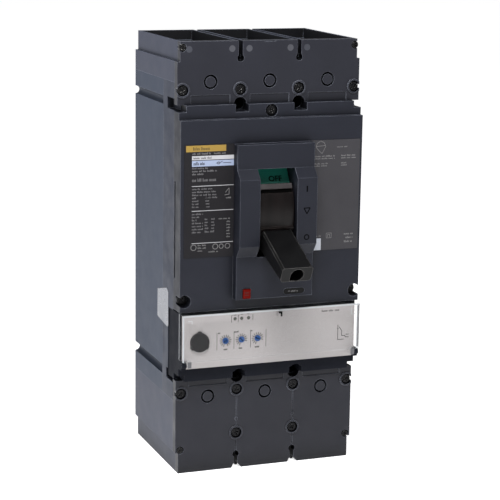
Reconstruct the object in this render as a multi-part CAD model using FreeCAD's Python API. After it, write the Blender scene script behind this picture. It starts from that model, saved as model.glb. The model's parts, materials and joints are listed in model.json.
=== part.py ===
import FreeCAD, Part
import os
from math import cos, degrees, radians, sin, sqrt

# Three-pole molded case circuit breaker, 400 A frame size. Millimetres.
# Origin: centre of the four panel mounting holes on the rear face.
# +Z is up towards the line side, +X is right seen from the front, +Y goes
# into the panel, so the front of the breaker faces -Y.

V = FreeCAD.Vector
X_AXIS = V(1, 0, 0)
Y_AXIS = V(0, 1, 0)
Z_AXIS = V(0, 0, 1)

# ---------------------------------------------------------------- dimensions
HALF_W = 70.0
END_HALF_W = 67.9          # narrower outer ends of both terminal shrouds
POLES = (-45.0, 0.0, 45.0)
POLE_GAPS = (-22.5, 22.5)  # planes between neighbouring poles
MOUNT_Z = 100.0            # mounting holes, above and below the origin
MOUNT_HOLE_R = 3.0
MOUNT_WELL_R = 5.0
MOUNT_FLOOR_Y = -8.0

# depths, from the rear face forward
BASE_Y = -69.8
MID_Y = -94.8
PLATE_BACK_Y = -95.4
LUG_COVER_Y = -101.4
SHOULDER_Y = -106.0
FRONT_Y = -110.0
NOSE_Y = -117.0
NOSE_PEAK_Y = -123.5

# heights
TOP_Z = 145.2
TOP_STEP_Z = 131.0
LINE_SEAM_Z = 116.0
LINE_COVER_Z = 100.4
SHOULDER_Z = 90.2
FRONT_BOTTOM_Z = -48.6
TRIP_TOP_Z = -50.0
TRIP_FACE_TOP_Z = -51.5
TRIP_FACE_BOTTOM_Z = -91.2
LOAD_COVER_Z = -101.8
LOAD_SEAM_Z = -118.0
BOTTOM_STEP_Z = -157.0
BOTTOM_Z = -172.8

WALL = 2.5
REAR_WALL = 4.0
CHAMBER_HALF_W = 18.5
PASSAGE_HALF_W = 15.8
PASSAGE_BACK_Y = -20.0
CHAMBER_Z = 93.0

# nose and window
NOSE_HALF_W = 29.7
NOSE_TOP_Z = 72.5
NOSE_BOTTOM_Z = -40.3
PEAK_TOP_Z = 48.0
PEAK_BOTTOM_Z = -0.5
SLOPE_TOP_Z = 54.8
SLOPE_BOTTOM_Z = -8.8
WINDOW_HALF_W = 14.3
WINDOW_BOTTOM_Z = -9.6
TUNNEL_WALL = 2.0
TUNNEL_BACK_Y = -101.0

# handle, on a cross axis in the mechanism
PIVOT_Y = -78.0
PIVOT_Z = 22.0
HANDLE_REST = -24.7        # degrees from straight out, down is negative
HANDLE_LEFT_X = -10.8
HANDLE_RIGHT_X = 12.5
SHIELD_R = 41.5
SHIELD_T = 2.0
SHIELD_HALF_W = 13.3
SHIELD_HALF_ANGLE = 55.5
SHIELD_GROOVE = 45.6       # degrees, with its width in degrees below
SHIELD_GROOVE_ANGLE = 4.2
HANDLE_TIP_R = 87.6
HANDLE_TOP_H = 5.9
HANDLE_ROOT_H = -10.2
TRUNNION_R = 3.0
FLAG_HALF_W = 14.2         # ON and OFF plates; (y, height from the pivot) of both ends
FLAG_INNER = (-107.5, 20.3)
FLAG_OUTER = (-101.0, 31.3)
FLAG_T = 1.4
RUNNING_GAP = 0.06

# contact system, a double-break rotor per pole
ROTOR_Y = -36.0
ROTOR_Z = 6.0
ROTOR_R = 15.0
ROTOR_HALF_W = 16.0
JOURNAL_R = 12.2
JOURNAL_END = 20.5
NECK_R = 5.0
CONTACT_R = 24.0
ARM_HALF_LENGTH = 28.0
ARM_HALF_T = 2.5
PAD_T = 1.5
OPEN_ANGLE = 38.0
TIE_ROD_R = 2.3
TIE_ROD_OFFSET = 9.6
BAR_HALF_W = 12.0
BAR_T = 6.0
CLOSED_GAP = 0.3           # left between pads when the handle is up

# mechanism frame
FRAME_PLATE_X = (18.7, 20.3)
SPACERS = ((-74.0, -9.0), (-74.0, 53.0))

# lugs
LUG_HALF_W = 15.0
LUG_BACK_Y = -29.7
LUG_FRONT_Y = -63.7
LUG_LENGTH = 26.2
LUG_BORE_R = 11.5
LUG_BORE_Y = -46.7
LINE_LUG_Z = 116.9         # middle of the lug and of its clamping screw
LOAD_LUG_Z = -115.7
SET_SCREW_R = 6.5

# trip unit
TRIP_HALF_W = 69.4
TRIP_FACE_HALF_W = 67.6
TRIP_BACK_Y = -82.7
TRIP_BODY_Y = -108.0
COVER_HALF_W = 69.2
COVER_Y = -115.7
COVER_T = 1.2
COVER_TOP_Z = -49.8
COVER_BOTTOM_Z = -84.5
HINGE_Y = -112.6
HINGE_Z = -87.2
HINGE_PIN_R = 1.2
EAR_X = 65.9
FOOT_X = (62.6, 65.7)
DIALS = ((-34.7, -71.9), (-22.3, -71.8), (-9.7, -71.8))
DIAL_R = 2.25
PORT = (-54.7, -71.5)
PORT_R = 7.2
LEDS = ((-27.5, -55.9), (-22.3, -55.9), (-17.0, -55.9))

# trip bar, button and magnetic release
BAR_Y = -88.0
BAR_Z = -24.0
TRIP_BAR_R = 3.0
BUTTON_X = -21.4
BUTTON_Z = -36.1
RELEASE_X = 42.0
RELEASE_Y = -78.5

# screws
COVER_SCREW_R = 3.5
LUG_SCREW_XS = (-66.0, -22.5, 22.5, 66.0)
LINE_SCREW_Z = 110.6
LOAD_SCREW_Z = -111.7
LOAD_SCREW_2_Z = -145.4
CORNER_SCREW_X = 66.2
LINE_CORNER_Z = 140.8
LOAD_CORNER_Z = -154.9
FRONT_SCREWS = ((0.0, 95.4), (-66.4, -40.6), (66.4, -40.6))
PLUG_R = 5.2
PLUG_GROOVE_W = 1.4
PLUG_GROOVE_DEPTH = 1.6


# ------------------------------------------------------------------- helpers
def block(x0, x1, y0, y1, z0, z1):
    """A box between two corners given in any order."""
    low = V(min(x0, x1), min(y0, y1), min(z0, z1))
    return Part.makeBox(abs(x1 - x0), abs(y1 - y0), abs(z1 - z0), low)


def along_x(x0, x1, y, z, r):
    return Part.makeCylinder(r, abs(x1 - x0), V(min(x0, x1), y, z), X_AXIS)


def along_y(x, z, y0, y1, r):
    return Part.makeCylinder(r, abs(y1 - y0), V(x, min(y0, y1), z), Y_AXIS)


def along_z(x, y, z0, z1, r):
    return Part.makeCylinder(r, abs(z1 - z0), V(x, y, min(z0, z1)), Z_AXIS)


def side_profile(points, x0, x1):
    """A closed outline of (y, z) points, drawn out from x0 to x1."""
    corners = [V(x0, y, z) for y, z in points]
    face = Part.Face(Part.makePolygon(corners + corners[:1]))
    return face.extrude(V(x1 - x0, 0, 0))


def join(shapes):
    shapes = list(shapes)
    whole = shapes[0]
    if len(shapes) > 1:
        whole = whole.fuse(shapes[1:])
    return whole.removeSplitter()


def cut(shape, tools):
    return shape.cut(list(tools)).removeSplitter()


def group(shapes):
    """Separate solids that share one node."""
    return Part.makeCompound(list(shapes))


def turned(shape, y, z, angle):
    """The shape turned about a cross axis. A positive angle lifts its front."""
    copy = shape.copy()
    copy.rotate(V(0, y, z), X_AXIS, -angle)
    return copy


def mirrored(shape):
    return shape.mirror(V(0, 0, 0), X_AXIS)


def both_sides(shape):
    return [shape, mirrored(shape)]


def bevel(shape, size, wanted):
    """Chamfer the edges that the test picks."""
    edges = [e for e in shape.Edges if wanted(e)]
    return shape.makeChamfer(size, edges) if edges else shape


def rounded(shape, radius, wanted):
    edges = [e for e in shape.Edges if wanted(e)]
    return shape.makeFillet(radius, edges) if edges else shape


def runs_along_y(edge):
    a, b = edge.Vertexes[0].Point, edge.Vertexes[-1].Point
    return abs(a.x - b.x) < 0.01 and abs(a.z - b.z) < 0.01


# ------------------------------------------------------------------- housing
def mount_wells(y0, y1):
    """Screwdriver wells over the four mounting holes."""
    return [along_y(x, side * MOUNT_Z, y0, y1, MOUNT_WELL_R) for x in POLE_GAPS for side in (1, -1)]


def side_grips(y0, y1):
    """Half-round grooves across both sides, level with the mounting holes."""
    grooves = []
    for z, r in ((100.8, 3.0), (-100.5, 3.6)):
        grooves += both_sides(along_y(HALF_W, z, y0, y1, r))
    return grooves


def base_case():
    body = block(-HALF_W, HALF_W, BASE_Y, 0, LOAD_SEAM_Z, LINE_SEAM_Z)
    pockets = [
        block(x - CHAMBER_HALF_W, x + CHAMBER_HALF_W, BASE_Y, -REAR_WALL, -CHAMBER_Z, CHAMBER_Z)
        for x in POLES
    ]
    pockets += [
        block(x - PASSAGE_HALF_W, x + PASSAGE_HALF_W, BASE_Y, PASSAGE_BACK_Y, z0, z1)
        for x in POLES
        for z0, z1 in ((CHAMBER_Z - 1, LINE_SEAM_Z), (LOAD_SEAM_Z, 1 - CHAMBER_Z))
    ]
    holes = [along_y(x, side * MOUNT_Z, -10, 0, MOUNT_HOLE_R) for x in POLE_GAPS for side in (1, -1)]
    bearing = along_x(-66, 66, ROTOR_Y, ROTOR_Z, JOURNAL_R + RUNNING_GAP)
    rear_panels = [block(x - 14, x + 14, -1.2, 0, z, z + 60) for x in POLES for z in (-75, 15)]
    case = cut(body, pockets + [bearing])
    case = cut(case, mount_wells(BASE_Y, MOUNT_FLOOR_Y) + holes + rear_panels)
    return cut(case, side_grips(BASE_Y, 0))


def corner_recesses(y0, y1, depth, z_line, z_load):
    """Openings cut into the side corners beside the mounting screws."""
    tools = []
    for z0, z1 in (z_line, z_load):
        tools += both_sides(block(HALF_W - depth, HALF_W, y0, y1, z0, z1))
    return tools


def mid_cover():
    body = block(-HALF_W, HALF_W, MID_Y, BASE_Y, LOAD_SEAM_Z, LINE_SEAM_Z)
    trip_bay = block(-HALF_W, HALF_W, MID_Y, TRIP_BACK_Y, LOAD_COVER_Z - 2.2, TRIP_TOP_Z + 0.3)
    interior_half = HALF_W - 3
    interior = block(-interior_half, interior_half, MID_Y, BASE_Y - 3, TRIP_TOP_Z + 3, 88.0)
    under_trip = block(-interior_half, interior_half, TRIP_BACK_Y, BASE_Y - 3, -88.0, TRIP_TOP_Z + 3)
    mechanism_gap = block(-21, 21, MID_Y, BASE_Y, -16, 60)
    lug_rooms = [
        block(x - PASSAGE_HALF_W, x + PASSAGE_HALF_W, MID_Y, BASE_Y, z0, z1)
        for x in POLES
        for z0, z1 in ((107.5, LINE_SEAM_Z), (LOAD_SEAM_Z, -107.5))
    ]
    cover = cut(body, [trip_bay, interior, under_trip, mechanism_gap])
    cover = cut(cover, lug_rooms + mount_wells(MID_Y, BASE_Y))
    ear = block(61.5, interior_half, BAR_Y - 5, BASE_Y - 3, BAR_Z - 5, BAR_Z + 5)
    cover = join([cover] + both_sides(ear))
    bearings = both_sides(along_x(61.5, 66.6, BAR_Y, BAR_Z, TRIP_BAR_R + RUNNING_GAP))
    cover = cut(cover, bearings + both_sides(block(61.5, 66.6, MID_Y, BAR_Y, BAR_Z - 2.6, BAR_Z + 2.6)))
    recesses = corner_recesses(MID_Y, -79.0, 5.0, (96.0, 104.4), (-104.4, -96.6))
    return cut(cover, recesses)


def nose_outline(inset):
    """Side view of the raised nose, drawn smaller by inset."""
    return (
        (FRONT_Y, NOSE_BOTTOM_Z + inset),
        (NOSE_Y + inset, NOSE_BOTTOM_Z + inset),
        (NOSE_Y + inset, SLOPE_BOTTOM_Z),
        (NOSE_PEAK_Y + inset, PEAK_BOTTOM_Z),
        (NOSE_PEAK_Y + inset, PEAK_TOP_Z),
        (NOSE_Y + inset, SLOPE_TOP_Z),
        (NOSE_Y + inset, NOSE_TOP_Z - inset),
        (FRONT_Y, NOSE_TOP_Z - inset),
    )


def front_cover():
    plate = block(-HALF_W, HALF_W, FRONT_Y, MID_Y, FRONT_BOTTOM_Z, SHOULDER_Z)
    shoulder = block(-HALF_W, HALF_W, SHOULDER_Y, MID_Y, SHOULDER_Z, LINE_COVER_Z)
    nose = side_profile(nose_outline(0), -NOSE_HALF_W, NOSE_HALF_W)
    half = HALF_W - WALL
    hollow = block(-half, half, FRONT_Y + WALL, MID_Y, FRONT_BOTTOM_Z + WALL, SHOULDER_Z - WALL)
    nose_width = NOSE_HALF_W - WALL
    nose_hollow = side_profile(nose_outline(WALL), -nose_width, nose_width)
    nose_mouth = block(-nose_width, nose_width, FRONT_Y, MID_Y, NOSE_BOTTOM_Z + WALL, NOSE_TOP_Z - WALL)
    shell = cut(join([plate, shoulder, nose]), [hollow, nose_hollow, nose_mouth])
    # deep collar round the window, and posts for the three screws
    tunnel = block(
        -WINDOW_HALF_W - TUNNEL_WALL, WINDOW_HALF_W + TUNNEL_WALL, NOSE_PEAK_Y + 1, TUNNEL_BACK_Y,
        WINDOW_BOTTOM_Z, SLOPE_TOP_Z,
    )
    tunnel = tunnel.common(join([nose, nose_mouth]))
    posts = [along_y(x, z, MID_Y, FRONT_Y + 1, 5.6) for x, z in FRONT_SCREWS[1:]]
    posts = [post.common(plate) for post in posts]
    shell = join([shell, tunnel] + posts)
    window = block(-WINDOW_HALF_W, WINDOW_HALF_W, NOSE_PEAK_Y - 1, MID_Y, WINDOW_BOTTOM_Z, SLOPE_TOP_Z)
    button_hole = block(BUTTON_X - 3.2, BUTTON_X + 3.2, NOSE_Y, MID_Y, BUTTON_Z - 3.8, BUTTON_Z + 3.8)
    wells = [along_y(x, z, FRONT_Y, FRONT_Y + 9, 4.8) for x, z in FRONT_SCREWS[1:]]
    wells.append(along_y(0, 95.4, SHOULDER_Y, SHOULDER_Y + 4, 4.6))
    shanks = [along_y(x, z, FRONT_Y, MID_Y, 1.9) for x, z in FRONT_SCREWS]
    notches = [block(x - 5, x + 5, SHOULDER_Y, MID_Y, 94.9, LINE_COVER_Z) for x in POLE_GAPS]
    corners = both_sides(block(HALF_W - 5.5, HALF_W, SHOULDER_Y, MID_Y, 95.6, LINE_COVER_Z))
    oval = join([
        block(9.5, 21.5, NOSE_Y, NOSE_Y + 0.8, -38.5, -34.1),
        along_y(9.5, -36.3, NOSE_Y, NOSE_Y + 0.8, 2.2),
        along_y(21.5, -36.3, NOSE_Y, NOSE_Y + 0.8, 2.2),
    ])
    slots = both_sides(block(HALF_W - 2.0, HALF_W, -99.0, -96.4, -25.4, 45.6))
    return cut(shell, [window, button_hole, oval] + wells + shanks + notches + corners + slots)


def barrier_slot(x, z_round, z_edge, flare):
    """Keyhole slot for an interphase barrier, with an optional flared mouth."""
    tools = [
        block(x - 1.6, x + 1.6, LUG_COVER_Y, PLATE_BACK_Y, z_round, z_edge),
        along_y(x, z_round, LUG_COVER_Y, PLATE_BACK_Y, 2.6),
    ]
    if flare:
        inner = z_edge + flare * 3.5
        corners = [V(x - 1.6, LUG_COVER_Y, inner), V(x + 1.6, LUG_COVER_Y, inner)]
        corners += [V(x + 4.4, LUG_COVER_Y, z_edge), V(x - 3.4, LUG_COVER_Y, z_edge)]
        face = Part.Face(Part.makePolygon(corners + corners[:1]))
        tools.append(face.extrude(V(0, PLATE_BACK_Y - LUG_COVER_Y, 0)))
    return tools


def plug_ring(x, z):
    """Round groove of a knock-out plug over a clamping screw."""
    floor_y = LUG_COVER_Y + PLUG_GROOVE_DEPTH
    outer = along_y(x, z, LUG_COVER_Y, floor_y, PLUG_R)
    return outer.cut(along_y(x, z, LUG_COVER_Y, floor_y, PLUG_R - PLUG_GROOVE_W))


def lug_plate(z_seam, z_step, z_end):
    """Front plate of a terminal end, with a lip all round its back."""
    wide = block(-HALF_W, HALF_W, LUG_COVER_Y, PLATE_BACK_Y, z_seam, z_step)
    narrow = block(-END_HALF_W, END_HALF_W, LUG_COVER_Y, PLATE_BACK_Y, z_step, z_end)
    z_low, z_high = sorted((z_seam, z_end))
    hollow = block(-65.4, 65.4, LUG_COVER_Y + 3, PLATE_BACK_Y, z_low + WALL, z_high - WALL)
    return cut(join([wide, narrow]), [hollow])


def screw_seat(x, z):
    """Low round collar with a pocket for a screw head."""
    return along_y(x, z, LUG_COVER_Y - 0.8, PLATE_BACK_Y, 5.3)


def screw_pocket(x, z, r=4.2, depth=2.4):
    return [
        along_y(x, z, LUG_COVER_Y - 0.8, LUG_COVER_Y + depth, r),
        along_y(x, z, LUG_COVER_Y, PLATE_BACK_Y, 1.9),
    ]


def lug_cover(z_seam, z_step, z_end, screws, corner_z, ring_z, round_z, flare, arch_z):
    plate = lug_plate(z_seam, z_step, z_end)
    seats = [screw_seat(x, z) for x, z in screws]
    dividers = [block(x - 4.5, x + 4.5, LUG_COVER_Y + 3, PLATE_BACK_Y, z_seam, z_end) for x in POLE_GAPS]
    body = join([plate] + seats + dividers)
    body = body.common(block(-HALF_W, HALF_W, LUG_COVER_Y - 1, PLATE_BACK_Y, z_seam, z_end))
    tools = [tool for x, z in screws for tool in screw_pocket(x, z)]
    for x in (-CORNER_SCREW_X, CORNER_SCREW_X):
        tools += screw_pocket(x, corner_z, 3.0, 2.0)
    for x in POLE_GAPS:
        tools += barrier_slot(x, round_z, z_end, flare)
        tools.append(along_y(x, arch_z, LUG_COVER_Y, PLATE_BACK_Y, 4.8))
    tools += [plug_ring(x, ring_z) for x in POLES]
    edge = z_seam + (6.6 if z_end > z_seam else -5.0)
    for x, half in zip(POLES, (14.7, 15.0, 15.0)):
        tools.append(block(x - half, x + half, LUG_COVER_Y, LUG_COVER_Y + 0.5, z_seam, edge))
    return body, tools


def line_lug_cover():
    screws = [(x, LINE_SCREW_Z) for x in LUG_SCREW_XS]
    body, tools = lug_cover(
        LINE_COVER_Z, TOP_STEP_Z, TOP_Z, screws, LINE_CORNER_Z, 116.3, 132.7, 0, LINE_COVER_Z - 0.2
    )
    tools.append(block(-4.2, 4.2, LUG_COVER_Y, LUG_COVER_Y + 0.8, TOP_Z - 0.9, TOP_Z))
    return cut(body, tools)


def load_lug_cover():
    screws = [(x, LOAD_SCREW_Z) for x in LUG_SCREW_XS] + [(x, LOAD_SCREW_2_Z) for x in POLE_GAPS]
    body, tools = lug_cover(
        LOAD_COVER_Z, BOTTOM_STEP_Z, BOTTOM_Z, screws, LOAD_CORNER_Z, -115.4, -162.2, 1, LOAD_COVER_Z + 0.3
    )
    for x in POLE_GAPS:
        for z0, z1 in ((-117.2, -139.8), (-151.0, -160.0)):
            tools.append(block(x - 0.4, x + 0.4, LUG_COVER_Y, LUG_COVER_Y + 0.5, z0, z1))
    cover = cut(body, tools)
    buttons = [along_y(x, -134.7, LUG_COVER_Y - 0.5, LUG_COVER_Y + 1, 1.2) for x in POLE_GAPS]
    return join([cover] + buttons)


def terminal_shroud(z_seam, z_step, z_end):
    """End housing: three wire rooms, double walls between them for the barriers."""
    wide = block(-HALF_W, HALF_W, PLATE_BACK_Y, 0, z_seam, z_step)
    narrow = block(-END_HALF_W, END_HALF_W, PLATE_BACK_Y, 0, z_step, z_end)
    edges = (-66.0, -26.0), (-19.0, 19.0), (26.0, 66.0)
    rooms = [block(x0, x1, PLATE_BACK_Y, -2.2, z_seam, z_end) for x0, x1 in edges]
    z_ledge = z_end - 7.5 if z_end > z_seam else z_end + 7.5
    ledges = [block(x0, x1, -4.4, -2.2, z_seam, z_ledge) for x0, x1 in edges]
    z_slot = z_seam + (8.0 if z_end > z_seam else -8.0)
    slots = [block(x - 1.6, x + 1.6, PLATE_BACK_Y, 0, z_slot, z_end) for x in POLE_GAPS]
    z_rung = z_seam + (14.0 if z_end > z_seam else -14.0)
    rungs = [block(x - 1.6, x + 1.6, y - 0.6, y + 0.6, z_slot, z_rung) for x in POLE_GAPS for y in (-24, -60)]
    pads = [block(x + 3, x_wall, -3.4, -2.2, z_seam, z_ledge) for x, x_wall in zip(POLES, (-26, 19, 66))]
    shell = cut(join([wide, narrow]), rooms + slots)
    # posts behind the small corner screws
    corner_z = LINE_CORNER_Z if z_end > z_seam else LOAD_CORNER_Z
    posts = both_sides(block(63.4, 66.0, PLATE_BACK_Y, -80, corner_z - 3, corner_z + 3))
    shell = join([shell] + ledges + pads + rungs + posts)
    pilots = [along_y(x, corner_z, PLATE_BACK_Y, -84, 1.3) for x in (-CORNER_SCREW_X, CORNER_SCREW_X)]
    return cut(shell, pilots)


def line_terminal_shroud():
    return terminal_shroud(LINE_SEAM_Z, TOP_STEP_Z, TOP_Z)


def load_terminal_shroud():
    return terminal_shroud(LOAD_SEAM_Z, BOTTOM_STEP_Z, BOTTOM_Z)


# -------------------------------------------------------------- current path
def line_terminal(x):
    """Straight copper bar from the line lug down to the upper fixed contact."""
    back_y = LUG_BACK_Y + BAR_T
    bar = block(x - BAR_HALF_W, x + BAR_HALF_W, LUG_BACK_Y, back_y, ROTOR_Z + 19, LINE_LUG_Z + 13.1)
    return cut(bar, [along_y(x, LINE_LUG_Z, LUG_BACK_Y, back_y, 2.8)])


def load_terminal(x):
    """Cranked copper bar from the lower fixed contact back to the load lug."""
    front_y = 2 * ROTOR_Y - LUG_BACK_Y - BAR_T
    upper = block(x - BAR_HALF_W, x + BAR_HALF_W, front_y, front_y + BAR_T, ROTOR_Z - 19, -94)
    step = block(x - BAR_HALF_W, x + BAR_HALF_W, front_y, LUG_BACK_Y + BAR_T, -94, -88)
    lower = block(x - BAR_HALF_W, x + BAR_HALF_W, LUG_BACK_Y, LUG_BACK_Y + BAR_T, LOAD_LUG_Z - 13.1, -88)
    hole = along_y(x, LOAD_LUG_Z, LUG_BACK_Y, LUG_BACK_Y + BAR_T, 2.8)
    return cut(join([upper, step, lower]), [hole])


def lug(x, z):
    """Aluminium wire lug with a round wire hole and a clamping-screw hole."""
    half = LUG_LENGTH / 2
    body = block(x - LUG_HALF_W, x + LUG_HALF_W, LUG_FRONT_Y, LUG_BACK_Y, z - half, z + half)
    body = bevel(body, 2.0, lambda e: e.Vertexes[0].Point.y < LUG_FRONT_Y + 1
                 and e.Vertexes[-1].Point.y < LUG_FRONT_Y + 1
                 and abs(e.Vertexes[0].Point.x - e.Vertexes[-1].Point.x) < 0.01)
    return cut(body, [
        along_z(x, LUG_BORE_Y, z - half, z + half, LUG_BORE_R),
        along_y(x, z, LUG_FRONT_Y, LUG_BORE_Y, SET_SCREW_R),
        along_y(x, z, -40, -32.4, 5.0),
        along_y(x, z, -40, LUG_BACK_Y, 2.8),
    ])


def hex_prism(x, z, y0, y1, across):
    """Six-sided prism along Y, for a hexagon socket."""
    r = across / sqrt(3)
    corners = [V(x + r * cos(radians(60 * i)), y0, z + r * sin(radians(60 * i))) for i in range(7)]
    return Part.Face(Part.makePolygon(corners)).extrude(V(0, y1 - y0, 0))


def lug_set_screws():
    screws = []
    for x in POLES:
        for z in (LINE_LUG_Z, LOAD_LUG_Z):
            body = along_y(x, z, -69.0, -58.4, SET_SCREW_R)
            screws.append(cut(body, [hex_prism(x, z, -69.0, -63.0, 8.0)]))
    return group(screws)


def lug_mounting_screws():
    screws = []
    for x in POLES:
        for z in (LINE_LUG_Z, LOAD_LUG_Z):
            head = along_y(x, z, -35.2, -32.4, 4.9)
            shank = along_y(x, z, -32.4, LUG_BACK_Y + BAR_T, 2.8)
            screws.append(cut(join([head, shank]), [hex_prism(x, z, -35.2, -33.4, 4.0)]))
    return group(screws)


def contact_pads():
    """Silver pads on the six fixed contacts."""
    upper_front = ROTOR_Y + ARM_HALF_T + PAD_T + CLOSED_GAP
    lower_back = ROTOR_Y - ARM_HALF_T - PAD_T - CLOSED_GAP
    pads = []
    for x in POLES:
        pads.append(block(x - 5, x + 5, upper_front, LUG_BACK_Y, ROTOR_Z + 20, ROTOR_Z + 28))
        pads.append(block(x - 5, x + 5, 2 * ROTOR_Y - LUG_BACK_Y, lower_back, ROTOR_Z - 28, ROTOR_Z - 20))
    return group(pads)


def when_open(shape):
    """A piece of the contact system, drawn closed and turned to its open place."""
    return turned(shape, ROTOR_Y, ROTOR_Z, -OPEN_ANGLE)


def tie_rod_places():
    return [(ROTOR_Y - TIE_ROD_OFFSET, ROTOR_Z), (ROTOR_Y + TIE_ROD_OFFSET, ROTOR_Z)]


def contact_rotor(x):
    """Drum round the moving contact. The middle one is necked for the drive links."""
    drum = along_x(x - ROTOR_HALF_W, x + ROTOR_HALF_W, ROTOR_Y, ROTOR_Z, ROTOR_R)
    journal = along_x(x - JOURNAL_END, x + JOURNAL_END, ROTOR_Y, ROTOR_Z, JOURNAL_R)
    slot = block(
        x - 5.2, x + 5.2, ROTOR_Y - ARM_HALF_T, ROTOR_Y + ARM_HALF_T, ROTOR_Z - ROTOR_R, ROTOR_Z + ROTOR_R
    )
    rods = [along_x(x - JOURNAL_END, x + JOURNAL_END, y, z, TIE_ROD_R) for y, z in tie_rod_places()]
    tools = [slot] + rods
    if x == 0:
        gap = along_x(ROTOR_HALF_W, CHAMBER_HALF_W - 0.2, ROTOR_Y, ROTOR_Z, ROTOR_R)
        tools += both_sides(gap.cut(along_x(ROTOR_HALF_W, CHAMBER_HALF_W, ROTOR_Y, ROTOR_Z, NECK_R)))
    return when_open(cut(join([drum, journal]), tools))


def moving_contact(x):
    """Double-ended copper arm with a silver pad at each end."""
    arm = block(
        x - 5, x + 5, ROTOR_Y - ARM_HALF_T, ROTOR_Y + ARM_HALF_T,
        ROTOR_Z - ARM_HALF_LENGTH, ROTOR_Z + ARM_HALF_LENGTH,
    )
    back = ROTOR_Y + ARM_HALF_T
    front = ROTOR_Y - ARM_HALF_T
    high, low = ROTOR_Z + CONTACT_R, ROTOR_Z - CONTACT_R
    upper = block(x - 4.5, x + 4.5, back, back + PAD_T, high - 3.5, high + 3.5)
    lower = block(x - 4.5, x + 4.5, front - PAD_T, front, low - 3.5, low + 3.5)
    return when_open(join([arm, upper, lower]))


def rotor_tie_rods():
    return when_open(group(along_x(-62, 62, y, z, TIE_ROD_R) for y, z in tie_rod_places()))


def plate_stacks(y_first, step, z_near, z_far):
    """Stacks of notched steel plates, one stack per pole."""
    plates = []
    for x in POLES:
        for i in range(8):
            y = y_first + i * step
            plate = block(x - 15, x + 15, y - 0.8, y + 0.8, z_near, z_far)
            depth = (z_far - z_near) * 0.45
            corners = [V(x - 7, y - 1, z_near), V(x + 7, y - 1, z_near), V(x, y - 1, z_near + depth)]
            notch = Part.Face(Part.makePolygon(corners + corners[:1])).extrude(V(0, 2, 0))
            plates.append(plate.cut(notch))
    return plates


def arc_plates():
    """One stack above and one below the rotor in each pole."""
    return group(plate_stacks(-36.0, -3.4, 38.0, 62.0) + plate_stacks(-36.0, 3.4, -26.0, -50.0))


def arc_chute_cheeks():
    """Fibre side walls that hold the plates."""
    cheeks = []
    for x in POLES:
        for y0, y1, z0, z1 in ((-62, -34, 37, 63), (-38, -10, -51, -25)):
            cheeks.append(block(x + 15, x + 16.5, y0, y1, z0, z1))
            cheeks.append(block(x - 16.5, x - 15, y0, y1, z0, z1))
    return group(cheeks)


# ----------------------------------------------------------------- mechanism
def mechanism_plate():
    """Steel side plate that carries the handle fork."""
    outline = ((-69.9, -14), (-92, -14), (-97, -6), (-97, 44), (-90, 58), (-69.9, 58))
    plate = side_profile(outline, *FRAME_PLATE_X)
    holes = [along_x(*FRAME_PLATE_X, PIVOT_Y, PIVOT_Z, TRUNNION_R + RUNNING_GAP)]
    holes += [along_x(*FRAME_PLATE_X, y, z, 2.0) for y, z in SPACERS]
    return cut(plate, holes)


def mechanism_pins():
    """Spacer pins that hold the two side plates apart."""
    pins = []
    for y, z in SPACERS:
        body = along_x(-FRAME_PLATE_X[0], FRAME_PLATE_X[0], y, z, 3.0)
        ends = along_x(-20.9, 20.9, y, z, 2.0)
        pins.append(join([body, ends]))
    return group(pins)


def radial(x0, x1, r0, r1, h0, h1):
    """A box drawn straight out from the handle axis."""
    return block(x0, x1, PIVOT_Y - r1, PIVOT_Y - r0, PIVOT_Z + h0, PIVOT_Z + h1)


def at_handle(shape):
    return turned(shape, PIVOT_Y, PIVOT_Z, HANDLE_REST)


def handle_yoke():
    arms = both_sides(join([radial(13.7, 15.5, 0, 22, -6, 6), along_x(13.7, 15.5, PIVOT_Y, PIVOT_Z, 7)]))
    strap = radial(-15.5, 15.5, 19.5, 22, -6, 6)
    trunnions = both_sides(along_x(15.5, 20.2, PIVOT_Y, PIVOT_Z, TRUNNION_R))
    hooks = both_sides(along_x(13.7, 11.0, PIVOT_Y - 14, PIVOT_Z, 1.4))
    return at_handle(join(arms + [strap] + trunnions + hooks))


def arc_point(r, angle):
    return V(-SHIELD_HALF_W, PIVOT_Y - r * cos(radians(angle)), PIVOT_Z + r * sin(radians(angle)))


def arc_band(r0, r1, a0, a1):
    """Part of a ring about the handle axis, as wide as the shield."""
    mid = (a0 + a1) / 2
    outer = Part.Arc(arc_point(r1, a0), arc_point(r1, mid), arc_point(r1, a1)).toShape()
    inner = Part.Arc(arc_point(r0, a1), arc_point(r0, mid), arc_point(r0, a0)).toShape()
    ends = [
        Part.makeLine(arc_point(r1, a1), arc_point(r0, a1)),
        Part.makeLine(arc_point(r0, a0), arc_point(r1, a0)),
    ]
    wire = Part.Wire([outer, ends[0], inner, ends[1]])
    return Part.Face(wire).extrude(V(2 * SHIELD_HALF_W, 0, 0))


def handle_shield():
    """Curved shutter behind the window: a groove near each end, a lip over the grip."""
    band = arc_band(SHIELD_R - SHIELD_T, SHIELD_R, -SHIELD_HALF_ANGLE, SHIELD_HALF_ANGLE)
    grooves = [
        arc_band(SHIELD_R - 1.2, SHIELD_R + 1, start, start + SHIELD_GROOVE_ANGLE)
        for start in (SHIELD_GROOVE, -SHIELD_GROOVE - SHIELD_GROOVE_ANGLE)
    ]
    ribs = both_sides(radial(9.0, SHIELD_HALF_W, 22, SHIELD_R - 1, -4, 4))
    lip_low = HANDLE_TOP_H + 0.5
    lip = radial(-SHIELD_HALF_W, SHIELD_HALF_W, SHIELD_R - 1.5, SHIELD_R + 0.9, lip_low, lip_low + 1.8)
    neck_hole = radial(-8.1, 8.1, 22, SHIELD_R + 1, -4.3, 4.3)
    return at_handle(cut(join([band, lip] + ribs), grooves + [neck_hole]))


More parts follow.
